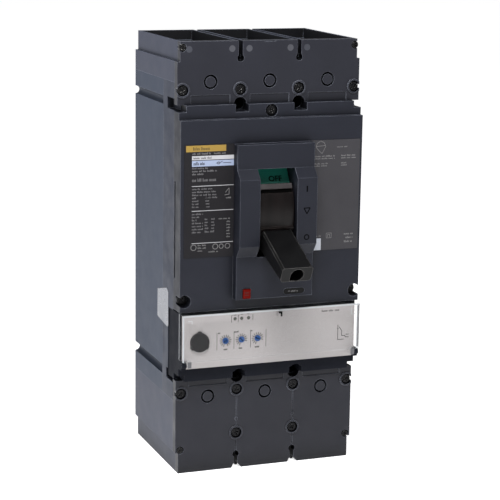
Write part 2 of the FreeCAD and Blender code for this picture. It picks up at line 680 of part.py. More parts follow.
def handle():
    """Hollow-ended grip: flat top, underside rising to the tip."""
    root = SHIELD_R + 0.3
    outline = (
        (PIVOT_Y - root, PIVOT_Z + HANDLE_TOP_H),
        (PIVOT_Y - HANDLE_TIP_R, PIVOT_Z + HANDLE_TOP_H),
        (PIVOT_Y - HANDLE_TIP_R, PIVOT_Z - HANDLE_TOP_H),
        (PIVOT_Y - root, PIVOT_Z + HANDLE_ROOT_H),
    )
    grip = side_profile(outline, HANDLE_LEFT_X, HANDLE_RIGHT_X)
    grip = bevel(grip, 1.3, lambda e: runs_along_y(e) and e.Vertexes[0].Point.z > PIVOT_Z)
    grip = rounded(grip, 2.6, lambda e: abs(e.Vertexes[0].Point.x - e.Vertexes[-1].Point.x) < 0.01
                   and e.Vertexes[0].Point.z < PIVOT_Z - 5 and e.Vertexes[-1].Point.z < PIVOT_Z - 5
                   and abs(e.Vertexes[0].Point.y - e.Vertexes[-1].Point.y) > 20)
    neck = radial(-8, 8, 22, root, -4.2, 4.2)
    bore = along_y(1.2, PIVOT_Z - 0.6, PIVOT_Y - HANDLE_TIP_R, PIVOT_Y - 55, 5.0)
    corner = radial(-3.8, 1.2, 55, HANDLE_TIP_R, -5.2, -0.6)
    return at_handle(cut(join([grip, neck]), [bore, corner]))


def drive_links():
    """Pair of links from the rotor crank rod towards the handle toggle."""
    rod_y, rod_z = tie_rod_places()[0]
    foot = when_open(Part.Vertex(0, rod_y, rod_z)).Point
    length, lean = 26.0, 60.0
    knee_y = foot.y - length * cos(radians(lean))
    knee_z = foot.z + length * sin(radians(lean))
    links = []
    for x0, x1 in ((16.35, 17.95), (-17.95, -16.35)):
        ends = [along_x(x0, x1, foot.y, foot.z, 4.2), along_x(x0, x1, knee_y, knee_z, 3.5)]
        web = block(x0, x1, foot.y - length, foot.y, foot.z - 2.6, foot.z + 2.6)
        web = turned(web, foot.y, foot.z, lean)
        link = join(ends + [web])
        link = cut(link, [along_x(x0, x1, foot.y, foot.z, TIE_ROD_R + RUNNING_GAP)])
        links.append(link)
    return group(links)


def coil(start, end, coil_r, wire_r, turns):
    """Round-wire helix between two points."""
    axis = end.sub(start)
    helix = Part.makeHelix(axis.Length / turns, axis.Length, coil_r)
    circle = Part.Wire([Part.Circle(V(coil_r, 0, 0), Y_AXIS, wire_r).toShape()])
    spring = Part.Wire(helix.Edges).makePipeShell([circle], True, True)
    spring.rotate(V(0, 0, 0), Z_AXIS.cross(axis), degrees(Z_AXIS.getAngle(axis)))
    spring.translate(start)
    return spring


def main_springs():
    """Tension springs between the fork hooks and the toggle."""
    springs = []
    for x in (-7.5, 7.5):
        springs.append(coil(V(x, -62.0, 19.0), V(x, -88.0, 14.0), 2.6, 0.6, 11))
    return group(springs)


def label_plate(side):
    """Fixed plate behind the shutter, seen past its upper or lower end."""
    front = [(y, PIVOT_Z + side * h) for y, h in (FLAG_INNER, FLAG_OUTER)]
    back = [(y + FLAG_T, z) for y, z in reversed(front)]
    return side_profile(front + back, -FLAG_HALF_W, FLAG_HALF_W)


def off_plate():
    return label_plate(1)


def on_plate():
    return label_plate(-1)


# ------------------------------------------------------------------ tripping
def trip_button():
    """Red push-to-trip button with a stem that reaches the trip bar."""
    cap = block(BUTTON_X - 2.8, BUTTON_X + 2.8, NOSE_Y - 1.4, NOSE_Y + 5, BUTTON_Z - 3.4, BUTTON_Z + 3.4)
    cap = bevel(cap, 0.5, lambda e: all(v.Point.y < NOSE_Y - 1 for v in e.Vertexes))
    stem = along_y(BUTTON_X, BUTTON_Z, NOSE_Y + 5, BAR_Y - 2.0, 1.6)
    return join([cap, stem])


def trip_button_spring():
    return coil(V(BUTTON_X, NOSE_Y + 5.6, BUTTON_Z), V(BUTTON_X, -96.0, BUTTON_Z), 2.5, 0.35, 6)


def trip_bar():
    bar = along_x(-66.2, 66.2, BAR_Y, BAR_Z, TRIP_BAR_R)
    finger = block(BUTTON_X - 3.5, BUTTON_X + 3.5, BAR_Y - 1.5, BAR_Y + 1.5, BUTTON_Z - 4, BAR_Z)
    tail = block(RELEASE_X - 4, RELEASE_X + 4, BAR_Y, RELEASE_Y + 3, BAR_Z - 1.5, BAR_Z + 1.5)
    latch = block(-5, 5, BAR_Y - 1.5, BAR_Y + 4.5, BAR_Z - 1.5, BAR_Z + 1.5)
    return join([bar, finger, tail, latch])


def trip_actuator():
    body = block(RELEASE_X - 8, RELEASE_X + 8, RELEASE_Y - 4, RELEASE_Y + 5, -45.0, -31.0)
    return cut(body, [along_z(RELEASE_X, RELEASE_Y, -43.5, -31.0, 2.0 + RUNNING_GAP)])


def actuator_plunger():
    stem = along_z(RELEASE_X, RELEASE_Y, -42.5, -28.4, 2.0)
    return join([stem, along_z(RELEASE_X, RELEASE_Y, -30.4, -28.4, 3.2)])


# ----------------------------------------------------------------- trip unit
def trip_unit_housing():
    rear = block(-TRIP_HALF_W, TRIP_HALF_W, SHOULDER_Y, TRIP_BACK_Y, LOAD_COVER_Z + 0.2, TRIP_TOP_Z)
    width = TRIP_FACE_HALF_W
    front = block(-width, width, TRIP_BODY_Y, SHOULDER_Y, TRIP_FACE_BOTTOM_Z, TRIP_FACE_TOP_Z)
    room = block(-65, 65, TRIP_BODY_Y, TRIP_BACK_Y - WALL, TRIP_FACE_BOTTOM_Z + WALL, TRIP_FACE_TOP_Z - 1.0)
    ear_low, ear_high = TRIP_FACE_BOTTOM_Z + 0.2, HINGE_Z + 2.3
    ears = both_sides(join([
        along_x(EAR_X, TRIP_HALF_W, HINGE_Y, HINGE_Z, 2.3),
        block(EAR_X, TRIP_HALF_W, HINGE_Y, FRONT_Y - 0.1, ear_low, ear_high),
        block(TRIP_FACE_HALF_W + 0.1, TRIP_HALF_W, HINGE_Y, SHOULDER_Y, ear_low, ear_high),
    ]))
    notches = [block(x - 5, x + 5, SHOULDER_Y, TRIP_BACK_Y, LOAD_COVER_Z, -96.9) for x in POLE_GAPS]
    wells = [along_y(x, -MOUNT_Z, SHOULDER_Y, TRIP_BACK_Y, MOUNT_WELL_R) for x in POLE_GAPS]
    corners = both_sides(block(HALF_W - 5.5, HALF_W, SHOULDER_Y, -95.0, LOAD_COVER_Z, -96.9))
    pin_holes = [along_x(-TRIP_HALF_W, TRIP_HALF_W, HINGE_Y, HINGE_Z, HINGE_PIN_R + RUNNING_GAP)]
    return cut(join([rear, front] + ears), [room] + notches + wells + corners + pin_holes)


def trip_faceplate():
    width = TRIP_FACE_HALF_W
    plate = block(-width, width, FRONT_Y, TRIP_BODY_Y, TRIP_FACE_BOTTOM_Z + 0.2, TRIP_FACE_TOP_Z)
    holes = [along_y(x, z, FRONT_Y, TRIP_BODY_Y, DIAL_R + 0.08) for x, z in DIALS]
    holes += [along_y(x, z, FRONT_Y, TRIP_BODY_Y, 0.9) for x, z in LEDS]
    holes.append(along_y(*PORT, FRONT_Y, TRIP_BODY_Y, PORT_R - 0.6))
    post = block(5.0, 8.4, FRONT_Y - 3.6, FRONT_Y, -56.0, -52.0)
    post = cut(post, [along_z(6.7, FRONT_Y - 2.0, -56.0, -52.0, 0.9)])
    return join([cut(plate, holes), post])


def test_port_cover():
    """Round cap with three grip tabs over the test socket."""
    cap = along_y(*PORT, FRONT_Y - 1.4, FRONT_Y, PORT_R)
    plug = along_y(*PORT, FRONT_Y, TRIP_BODY_Y, PORT_R - 0.6)
    tabs = []
    x, z = PORT
    for angle in (90, 215, 325):
        tab = block(x - 1.3, x + 1.3, FRONT_Y - 1.2, FRONT_Y, z + PORT_R - 1, z + PORT_R + 0.8)
        tab.rotate(V(x, 0, z), Y_AXIS, 90 - angle)
        tabs.append(tab)
    return join([cap, plug] + tabs)


def dial(x, z):
    """Rotary setting switch with a screwdriver slot."""
    head = along_y(x, z, FRONT_Y - 0.6, TRIP_BODY_Y + 0.2, DIAL_R)
    flange = along_y(x, z, TRIP_BODY_Y + 0.2, TRIP_BODY_Y + 1.0, DIAL_R + 0.6)
    stem = along_y(x, z, TRIP_BODY_Y + 1.0, -104.0, 1.2)
    slot = block(x - 1.9, x + 1.9, FRONT_Y - 0.6, FRONT_Y + 0.2, z - 0.35, z + 0.35)
    slot.rotate(V(x, 0, z), Y_AXIS, 35)
    return cut(join([head, flange, stem]), [slot])


def led_lenses():
    return group(along_y(x, z, FRONT_Y - 0.3, TRIP_BODY_Y, 0.9) for x, z in LEDS)


def clear_trip_cover():
    """Transparent cover, open at the back, turning on two pins near its foot."""
    shell = block(-COVER_HALF_W, COVER_HALF_W, COVER_Y, SHOULDER_Y - 0.3, COVER_BOTTOM_Z, COVER_TOP_Z)
    inner = COVER_HALF_W - COVER_T
    room = block(-inner, inner, COVER_Y + COVER_T, SHOULDER_Y, COVER_BOTTOM_Z, COVER_TOP_Z - COVER_T)
    shell = cut(shell, [room])
    foot = join([
        along_x(*FOOT_X, HINGE_Y, HINGE_Z, 2.0),
        block(*FOOT_X, COVER_Y, HINGE_Y, HINGE_Z, COVER_BOTTOM_Z + 1),
        block(*FOOT_X, COVER_Y, HINGE_Y + 2.0, HINGE_Z, COVER_BOTTOM_Z),
    ])
    foot = foot.common(block(*FOOT_X, COVER_Y, HINGE_Y + 2.0, HINGE_Z - 2, COVER_BOTTOM_Z + 1))
    pin = along_x(FOOT_X[1], COVER_HALF_W, HINGE_Y, HINGE_Z, HINGE_PIN_R)
    return join([shell] + both_sides(foot) + both_sides(pin))


def circuit_board():
    board = block(-62, 62, -100, -98.4, -87, -54)
    switches = [block(x - 4, x + 4, -103.6, -100, z - 4, z + 4) for x, z in DIALS]
    chips = [block(x, x + 14, -102.4, -100, z, z + 10) for x, z in ((8, -80), (30, -70), (-60, -86))]
    socket = block(PORT[0] - 5, PORT[0] + 5, -107, -100, PORT[1] - 4, PORT[1] + 4)
    return group([board] + switches + chips + [socket])


def current_transformer(x):
    """Ring core round a load bar."""
    core = block(x - 17, x + 17, -62, -32, -84, -62)
    core = rounded(core, 4.0, lambda e: abs(e.Vertexes[0].Point.z - e.Vertexes[-1].Point.z) > 10)
    front_y = 2 * ROTOR_Y - LUG_BACK_Y - BAR_T
    half = BAR_HALF_W + 0.2
    window = block(x - half, x + half, front_y - 0.2, front_y + BAR_T + 0.2, -84, -62)
    return cut(core, [window])


# --------------------------------------------------------- labels and screws
def left_label():
    return block(-67.3, -NOSE_HALF_W, FRONT_Y - 0.3, FRONT_Y, -8.8, 73.0)


def right_label():
    return block(NOSE_HALF_W, 68.3, FRONT_Y - 0.3, FRONT_Y, -8.8, 73.0)


def rating_plate():
    """Small oval plate set into the nose under the handle."""
    ends = [along_y(x, -36.3, NOSE_Y + 0.2, NOSE_Y + 0.8, 2.2) for x in (9.5, 21.5)]
    return join([block(9.5, 21.5, NOSE_Y + 0.2, NOSE_Y + 0.8, -38.5, -34.1)] + ends)


def seal_sticker():
    """Tamper seal stuck across the parting line on the left side."""
    outline = ((-58.0, -41.6), (-79.5, -36.5), (-84.0, -38.5), (-84.0, -64.0), (-82.0, -65.4), (-58.0, -62.5))
    return side_profile(outline, -HALF_W - 0.25, -HALF_W)


def cross_screw(x, z, y_head, r, length):
    """Pan head screw with a cross recess, its head towards the front."""
    head = along_y(x, z, y_head, y_head + 2.0, r)
    head = head.makeChamfer(0.5, [e for e in head.Edges if e.BoundBox.YMax < y_head + 0.01])
    shank = along_y(x, z, y_head + 2.0, y_head + length, 1.9 if r > 3 else 1.25)
    long_arm = r * 0.62
    arms = [
        block(x - long_arm, x + long_arm, y_head, y_head + 1.2, z - 0.45, z + 0.45),
        block(x - 0.45, x + 0.45, y_head, y_head + 1.2, z - long_arm, z + long_arm),
    ]
    for arm in arms:
        arm.rotate(V(x, 0, z), Y_AXIS, 30 + 7 * (x + z) % 45)
    return cut(join([head, shank]), arms)


def cover_screws():
    places = [(x, LINE_SCREW_Z) for x in LUG_SCREW_XS]
    places += [(x, LOAD_SCREW_Z) for x in LUG_SCREW_XS]
    places += [(x, LOAD_SCREW_2_Z) for x in POLE_GAPS]
    screws = [cross_screw(x, z, LUG_COVER_Y + 0.2, COVER_SCREW_R, 5.4) for x, z in places]
    screws.append(cross_screw(*FRONT_SCREWS[0], SHOULDER_Y + 1.0, COVER_SCREW_R, 9.0))
    screws += [cross_screw(x, z, FRONT_Y + 7.0, COVER_SCREW_R, 8.0) for x, z in FRONT_SCREWS[1:]]
    return group(screws)


def corner_screws():
    places = [(side * CORNER_SCREW_X, z) for side in (-1, 1) for z in (LINE_CORNER_Z, LOAD_CORNER_Z)]
    return group(cross_screw(x, z, LUG_COVER_Y, 2.6, 12.0) for x, z in places)


# --------------------------------------------------------------------- nodes
PIECES = {
    "base_case": base_case(),
    "mid_cover": mid_cover(),
    "front_cover": front_cover(),
    "line_terminal_shroud": line_terminal_shroud(),
    "load_terminal_shroud": load_terminal_shroud(),
    "line_lug_cover": line_lug_cover(),
    "load_lug_cover": load_lug_cover(),
    "lug_set_screws": lug_set_screws(),
    "lug_mounting_screws": lug_mounting_screws(),
    "contact_pads": contact_pads(),
    "moving_contacts": group(moving_contact(x) for x in POLES),
    "rotor_tie_rods": rotor_tie_rods(),
    "arc_plates": arc_plates(),
    "arc_chute_cheeks": arc_chute_cheeks(),
    "mechanism_plate_right": mechanism_plate(),
    "mechanism_plate_left": mirrored(mechanism_plate()),
    "mechanism_pins": mechanism_pins(),
    "handle_yoke": handle_yoke(),
    "handle_shield": handle_shield(),
    "handle": handle(),
    "drive_links": drive_links(),
    "main_springs": main_springs(),
    "off_plate": off_plate(),
    "on_plate": on_plate(),
    "trip_button": trip_button(),
    "trip_button_spring": trip_button_spring(),
    "trip_bar": trip_bar(),
    "trip_actuator": trip_actuator(),
    "actuator_plunger": actuator_plunger(),
    "trip_unit_housing": trip_unit_housing(),
    "trip_faceplate": trip_faceplate(),
    "test_port_cover": test_port_cover(),
    "led_lenses": led_lenses(),
    "clear_trip_cover": clear_trip_cover(),
    "circuit_board": circuit_board(),
    "current_transformers": group(current_transformer(x) for x in POLES),
    "left_label": left_label(),
    "right_label": right_label(),
    "rating_plate": rating_plate(),
    "seal_sticker": seal_sticker(),
    "cover_screws": cover_screws(),
    "corner_screws": corner_screws(),
}
for number, pole in enumerate(POLES, 1):
    PIECES["line_terminal_%d" % number] = line_terminal(pole)
    PIECES["load_terminal_%d" % number] = load_terminal(pole)
    PIECES["line_lug_%d" % number] = lug(pole, LINE_LUG_Z)
    PIECES["load_lug_%d" % number] = lug(pole, LOAD_LUG_Z)
    PIECES["contact_rotor_%d" % number] = contact_rotor(pole)
    PIECES["dial_%d" % number] = dial(*DIALS[number - 1])

os.makedirs("parts", exist_ok=True)
for name, shape in PIECES.items():
    shape.exportStep("parts/%s.step" % name)
    print("%-24s solids %2d  volume %9.1f mm3" % (name, len(shape.Solids), shape.Volume))
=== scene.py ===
"""Looks of a three-pole molded case circuit breaker: materials, printed marks, light and camera."""

import json
import math
import random

import bpy
from mathutils import Matrix, Vector


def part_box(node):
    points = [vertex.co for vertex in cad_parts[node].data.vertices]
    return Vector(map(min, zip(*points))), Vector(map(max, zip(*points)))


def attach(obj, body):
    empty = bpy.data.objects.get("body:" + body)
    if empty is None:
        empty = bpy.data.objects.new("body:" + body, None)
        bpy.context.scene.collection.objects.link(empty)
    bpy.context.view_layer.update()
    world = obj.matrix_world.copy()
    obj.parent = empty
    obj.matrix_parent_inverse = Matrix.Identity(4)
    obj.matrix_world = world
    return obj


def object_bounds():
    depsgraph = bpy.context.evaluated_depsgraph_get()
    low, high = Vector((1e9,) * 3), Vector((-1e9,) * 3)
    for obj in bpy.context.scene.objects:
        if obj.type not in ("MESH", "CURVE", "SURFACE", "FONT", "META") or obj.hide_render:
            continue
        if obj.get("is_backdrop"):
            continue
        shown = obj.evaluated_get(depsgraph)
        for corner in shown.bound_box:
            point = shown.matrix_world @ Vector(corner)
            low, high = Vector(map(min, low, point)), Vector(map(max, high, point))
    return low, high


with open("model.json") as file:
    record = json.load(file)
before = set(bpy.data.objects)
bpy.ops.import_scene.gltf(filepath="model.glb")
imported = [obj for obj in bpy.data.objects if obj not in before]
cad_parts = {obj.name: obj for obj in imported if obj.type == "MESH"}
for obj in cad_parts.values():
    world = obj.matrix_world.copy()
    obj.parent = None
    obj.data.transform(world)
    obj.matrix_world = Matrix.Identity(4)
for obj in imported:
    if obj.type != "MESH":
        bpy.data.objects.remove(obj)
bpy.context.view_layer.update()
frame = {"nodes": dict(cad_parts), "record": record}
NODES = frame["nodes"]

# Lengths are millimetres in the frame of the CAD, unless a comment says metres.
MM = 0.001
PRINT_T = 0.05 * MM          # how far a printed mark stands off its surface, in metres
STRIP_T = 0.06               # thickness of the strips on the round shutter
PIVOT_Y, PIVOT_Z = -78.0, 22.0
HANDLE_REST = -24.7          # degrees above straight out
SHIELD_R = 41.5              # outside of the handle's shutter
LIP_SHINE_R = SHIELD_R + 0.86  # behind the flat front of the shutter's lip, which hides this strip
SHIELD_GROOVE_DEPTH = 1.2
FLAG_T = 1.4                 # thickness of the ON and OFF plates
LUG_COVER_T = 6.0
PLUG_GROOVE_DEPTH = 1.6
DIALS = ((-34.7, -71.9), (-22.3, -71.8), (-9.7, -71.8))
PORT = (-54.7, -71.5)
SEAL_HOOK = 3.6              # the hook for a seal stands off the faceplate by this much


# ------------------------------------------------------------------ materials
ROOM_HALF_WIDTH, ROOM_BACK_Y = 66.5, -1.0  # bounds of the wire rooms
# share of painted shade on the walls inside the wire rooms
ROOM_SHADE = 0.96
# reach of the painted shade in hollows, in millimetres
CAVITY_SHADE_REACH = 22
BEVEL_SAMPLES = 5


def rgb(r, g, b):
    """An 8-bit screen colour as linear values."""

    def linear(c):
        c /= 255
        return c / 12.92 if c <= 0.04045 else ((c + 0.055) / 1.055) ** 2.4

    return (linear(r), linear(g), linear(b), 1.0)


def scaled(color, k):
    return tuple(min(1.0, c * k) for c in color[:3]) + (1.0,)


def noise(tree, coords, scale, detail=2.0):
    node = tree.nodes.new("ShaderNodeTexNoise")
    node.inputs["Scale"].default_value = scale
    node.inputs["Detail"].default_value = detail
    tree.links.new(coords, node.inputs["Vector"])
    return node.outputs["Fac"]


def remap(tree, value, low, high, out_low, out_high):
    node = tree.nodes.new("ShaderNodeMapRange")
    for key, number in (("From Min", low), ("From Max", high), ("To Min", out_low), ("To Max", out_high)):
        node.inputs[key].default_value = number
    tree.links.new(value, node.inputs["Value"])
    return node.outputs["Result"]


def mixed(tree, factor, a, b):
    node = tree.nodes.new("ShaderNodeMix")
    node.data_type = "RGBA"
    tree.links.new(factor, node.inputs["Factor"])
    for key, color in (("A", a), ("B", b)):
        socket = [s for s in node.inputs if s.name == key and s.type == "RGBA"][0]
        if isinstance(color, tuple):
            socket.default_value = color
        else:
            tree.links.new(color, socket)
    return [s for s in node.outputs if s.type == "RGBA"][0]


def arithmetic(tree, operation, a, b):
    node = tree.nodes.new("ShaderNodeMath")
    node.operation = operation
    tree.links.new(a, node.inputs[0])
    if isinstance(b, float):
        node.inputs[1].default_value = b
    else:
        tree.links.new(b, node.inputs[1])
    return node.outputs["Value"]


def times(tree, a, b):
    return arithmetic(tree, "MULTIPLY", a, b)


def size_below(tree, value, limit):
    """1 where the value lies between -limit and limit."""
    return arithmetic(tree, "LESS_THAN", arithmetic(tree, "ABSOLUTE", value, 0.0), limit)


def room_shade_mask(tree, coords):
    """Where the walls inside the wire rooms get painted shade: 1 there, 0 on the outside and on the rims at
    their ends.
    """
    parts = []
    for source in (coords, tree.nodes.new("ShaderNodeNewGeometry").outputs["Normal"]):
        split = tree.nodes.new("ShaderNodeSeparateXYZ")
        tree.links.new(source, split.inputs["Vector"])
        parts.append(split.outputs)
    place, normal = parts
    across = size_below(tree, place["X"], ROOM_HALF_WIDTH * MM)
    ahead = arithmetic(tree, "LESS_THAN", place["Y"], ROOM_BACK_Y * MM)
    upright = size_below(tree, normal["Z"], 0.5)
    return times(tree, times(tree, across, ahead), upright)


def rounded_normal(tree, radius):
    node = tree.nodes.new("ShaderNodeBevel")
    node.samples = BEVEL_SAMPLES
    node.inputs["Radius"].default_value = radius * MM
    return node.outputs["Normal"]


def edge_mask(tree, rounded):
    """1 on the rounded edges of a piece, 0 on its flats."""
    geometry = tree.nodes.new("ShaderNodeNewGeometry")
    dot = tree.nodes.new("ShaderNodeVectorMath")
    dot.operation = "DOT_PRODUCT"
    tree.links.new(rounded, dot.inputs[0])
    tree.links.new(geometry.outputs["Normal"], dot.inputs[1])
    return remap(tree, dot.outputs["Value"], 0.985, 0.86, 0.0, 1.0)


def new_material(name):
    """A material with its node tree, its shader and the object's own coordinates."""
    mat = bpy.data.materials.new(name)
    mat.use_nodes = True
    tree = mat.node_tree
    coords = tree.nodes.new("ShaderNodeTexCoord").outputs["Object"]
    return mat, tree, tree.nodes["Principled BSDF"], coords


def surface(name, color, rough, grain=0.1, grain_scale=1400, mottle=0.07, edge=None, edge_share=0.6,
            edge_mm=0.35, metallic=0.0, coat=0.0, specular=0.5, streaks=None, spread=0.07,
            cavity_shade=0.0, room_shade=False):
    """Moulded, printed or metal surface: mottled colour, uneven gloss, fine grain, soft edges painted in the
    edge colour (part wear, part painted highlight), painted shade in hollows and, where asked, on the walls
    inside the wire rooms.
    """
    mat, tree, shader, coords = new_material(name)
    field = coords
    if streaks:
        stretch = tree.nodes.new("ShaderNodeMapping")
        stretch.inputs["Scale"].default_value = streaks
        tree.links.new(coords, stretch.inputs["Vector"])
        field = stretch.outputs["Vector"]
    broad = remap(tree, noise(tree, field, 30), 0.3, 0.7, 0.0, 1.0)
    paint = mixed(tree, broad, scaled(color, 1 - mottle), scaled(color, 1 + mottle))
    speck = remap(tree, noise(tree, coords, grain_scale * 0.6, 3.0), 0.25, 0.75, 0.0, 0.35)
    paint = mixed(tree, speck, paint, scaled(color, 0.78))
    # painted shade: the colour darkens where ambient occlusion finds hollows, seams and corners
    if cavity_shade:
        shade = tree.nodes.new("ShaderNodeAmbientOcclusion")
        shade.samples = 6
        shade.inputs["Distance"].default_value = CAVITY_SHADE_REACH * MM
        hollow_shade = remap(tree, shade.outputs["AO"], 0.35, 0.9, cavity_shade, 0.0)
        paint = mixed(tree, hollow_shade, paint, scaled(color, 0.08))
    normal = rounded_normal(tree, edge_mm)
    # painted shade: the walls inside the wire rooms are painted near black
    if room_shade:
        paint = mixed(tree, times(tree, room_shade_mask(tree, coords), ROOM_SHADE), paint, rgb(6, 7, 10))
    # edges painted in the edge colour, patchily: part wear, part painted highlight, such as the glints on the
    # screws and the light lines on the handle
    if edge:
        patchy = remap(tree, noise(tree, coords, 60), 0.35, 0.7, 0.35, 1.0)
        wear_and_highlight = times(tree, edge_mask(tree, normal), patchy)
        paint = mixed(tree, times(tree, wear_and_highlight, edge_share), paint, edge)
    tree.links.new(paint, shader.inputs["Base Color"])
    glossiest, dullest = max(0.03, rough - spread), min(1.0, rough + spread)
    gloss = remap(tree, noise(tree, field, 90), 0.3, 0.7, glossiest, dullest)
    tree.links.new(gloss, shader.inputs["Roughness"])
    if grain:
        bump = tree.nodes.new("ShaderNodeBump")
        bump.inputs["Strength"].default_value = grain
        bump.inputs["Distance"].default_value = 0.08 * MM
        tree.links.new(noise(tree, coords, grain_scale, 3.0), bump.inputs["Height"])
        tree.links.new(normal, bump.inputs["Normal"])
        normal = bump.outputs["Normal"]
    tree.links.new(normal, shader.inputs["Normal"])
    shader.inputs["Metallic"].default_value = metallic
    shader.inputs["Specular IOR Level"].default_value = specular
    shader.inputs["Coat Weight"].default_value = coat
    return mat


def clear_plastic(name):
    """Clear sheet: see-through faces with gloss, and edges that catch the light."""
    mat, tree, shader, coords = new_material(name)
    frost = edge_mask(tree, rounded_normal(tree, 0.45))
    haze = remap(tree, noise(tree, coords, 45), 0.35, 0.7, 0.0, 0.025)
    add = tree.nodes.new("ShaderNodeMath")
    add.operation = "MULTIPLY_ADD"
    add.inputs[1].default_value = 0.38
    add.use_clamp = True
    tree.links.new(frost, add.inputs[0])
    tree.links.new(haze, add.inputs[2])
    tree.links.new(add.outputs["Value"], shader.inputs["Alpha"])
    tree.links.new(mixed(tree, frost, rgb(170, 172, 174), rgb(205, 208, 212)), shader.inputs["Base Color"])
    tree.links.new(remap(tree, noise(tree, coords, 200), 0.3, 0.7, 0.06, 0.16), shader.inputs["Roughness"])
    shader.inputs["Specular IOR Level"].default_value = 0.25
    return mat


# the edge colour is painted on rounded edges as part wear, part painted highlight; the hollows get painted
# shade
CASE = dict(edge=rgb(136, 143, 158), edge_mm=0.5, specular=0.25, cavity_shade=0.9)
EVEN = dict(mottle=0.035, spread=0.025)
COVER = dict(edge=rgb(118, 122, 134), edge_share=0.9, edge_mm=0.6, cavity_shade=0.8)
LABEL = dict(grain=0.03, mottle=0.05, edge_mm=0.1)
INK = dict(grain=0.0, edge_mm=0.05)
LOOKS = {  # name: (screen colour, roughness, other settings of surface)
    "case_rear": ((47, 55, 71), 0.57, CASE | EVEN),
    "case_middle": ((43, 48, 62), 0.55, CASE),
    "case_front": ((28, 30, 39), 0.46, COVER | dict(specular=0.2)),
    "trip_housing": ((22, 24, 31), 0.75, dict(edge=rgb(84, 88, 98), edge_share=0.5, specular=0.1)),
    "lug_covers": ((31, 32, 40), 0.44, COVER | dict(specular=0.25)),
    "shrouds": ((54, 58, 73), 0.54, CASE | EVEN | dict(room_shade=True)),
    "handle_black": ((11, 11, 12), 0.38, dict(grain=0.2, mottle=0.3, edge=rgb(158, 156, 154), edge_mm=0.7,
                                              specular=0.15)),
    "shutter_brown": ((15, 11, 11), 0.36, dict(grain=0.04, mottle=0.5, streaks=(9.0, 1.0, 0.6),
                                               edge=rgb(120, 110, 105), edge_share=0.35, specular=0.2)),
    "shutter_grey": ((46, 42, 43), 0.4, dict(grain=0.04, mottle=0.1, edge_mm=0.05)),
    # painted highlight along the lip of the shutter
    "shutter_gloss": ((78, 73, 72), 0.34, INK | dict(mottle=0.1)),
    "label_dark": ((29, 28, 31), 0.6, LABEL | dict(specular=0.15)),
    "label_grey": ((52, 51, 55), 0.6, LABEL | dict(specular=0.3)),
    "faceplate_beige": ((158, 154, 154), 0.5, dict(grain=0.05, mottle=0.025)),
    "red_plastic": ((92, 9, 4), 0.5, dict(grain=0.03, edge=rgb(50, 10, 8), edge_mm=0.6, specular=0.05)),
    "dial_blue": ((22, 70, 128), 0.35, dict(grain=0.03, edge=rgb(80, 124, 190), specular=0.3)),
    "cap_dark": ((22, 21, 23), 0.5, dict(grain=0.5, grain_scale=900, edge=rgb(84, 82, 84), specular=0.2)),
    "led_lens": ((70, 72, 66), 0.2, dict(grain=0.0, coat=0.5)),
    "green_label": ((34, 124, 108), 0.42, dict(grain=0.03, mottle=0.06)),
    "on_label": ((206, 203, 198), 0.42, dict(grain=0.03, mottle=0.04)),
    "rating_black": ((8, 8, 9), 0.4, dict(grain=0.02, edge=rgb(70, 70, 72), specular=0.15)),
    "sticker_white": ((88, 92, 103), 0.3, dict(grain=0.05, mottle=0.1, edge=rgb(200, 202, 206), edge_mm=0.15,
                                               coat=0.3)),
    "screw_black": ((25, 25, 27), 0.36, dict(mottle=0.25, metallic=0.85, edge=rgb(176, 175, 174),
                                             edge_share=0.7, edge_mm=0.16)),
    "steel": ((170, 170, 172), 0.32, dict(grain=0.05, mottle=0.12, metallic=1.0, streaks=(1.0, 12.0, 1.0),
                                          edge=rgb(225, 225, 225))),
    "spring_steel": ((140, 140, 145), 0.3, dict(grain=0.04, mottle=0.1, metallic=1.0)),
    "silver": ((222, 221, 216), 0.28, dict(grain=0.05, mottle=0.08, metallic=1.0)),
    "copper": ((196, 122, 88), 0.3, dict(grain=0.05, mottle=0.14, metallic=1.0, streaks=(8.0, 8.0, 0.6),
                                         edge=rgb(235, 175, 140))),
    "lug_aluminium": ((196, 197, 199), 0.34, dict(grain=0.07, mottle=0.1, metallic=1.0,
                                                  streaks=(6.0, 6.0, 0.6), edge=rgb(235, 235, 235))),
    "rotor_plastic": ((92, 58, 44), 0.55, dict(mottle=0.15, edge=rgb(140, 105, 88))),
    "fibre": ((176, 148, 112), 0.7, dict(grain=0.3, grain_scale=700, mottle=0.15)),
    "board_green": ((30, 104, 62), 0.42, dict(mottle=0.1, edge=rgb(150, 160, 120))),
    "coil_black": ((44, 44, 48), 0.5, dict(grain=0.2, mottle=0.15, streaks=(1.0, 1.0, 20.0))),
    "ink_white": ((176, 176, 180), 0.5, INK | dict(mottle=0.05)),
    "ink_text": ((104, 103, 106), 0.5, INK | dict(mottle=0.08)),
    "ink_grey": ((112, 111, 112), 0.5, INK | dict(mottle=0.08)),
    "ink_dark": ((11, 10, 12), 0.7, INK | dict(mottle=0.1)),
    "ink_blue": ((146, 158, 184), 0.5, INK | dict(mottle=0.04)),
    "ink_yellow": ((146, 118, 46), 0.45, INK | dict(mottle=0.05)),
    "sticker_paper": ((176, 180, 190), 0.5, dict(grain=0.05, mottle=0.04, edge_mm=0.1)),
    "mould_mark_light": ((60, 61, 68), 0.5, dict(grain=0.05, edge_mm=0.05)),
    "mould_mark_cool": ((46, 48, 57), 0.5, dict(grain=0.05, edge_mm=0.05)),
    "button_ink": ((48, 8, 6), 0.5, INK),
    "groove_dark": ((4, 4, 4), 0.8, dict(grain=0.05, edge_mm=0.05, specular=0.02)),
    "frosted_rim": ((176, 179, 184), 0.5, dict(mottle=0.1, edge_mm=0.05)),
    "frosted_grey": ((88, 88, 92), 0.5, dict(grain=0.2, mottle=0.15, edge_mm=0.05)),
}
M = {name: surface(name, rgb(*color), rough, **more) for name, (color, rough, more) in LOOKS.items()}
M["clear_plastic"] = clear_plastic("clear_plastic")


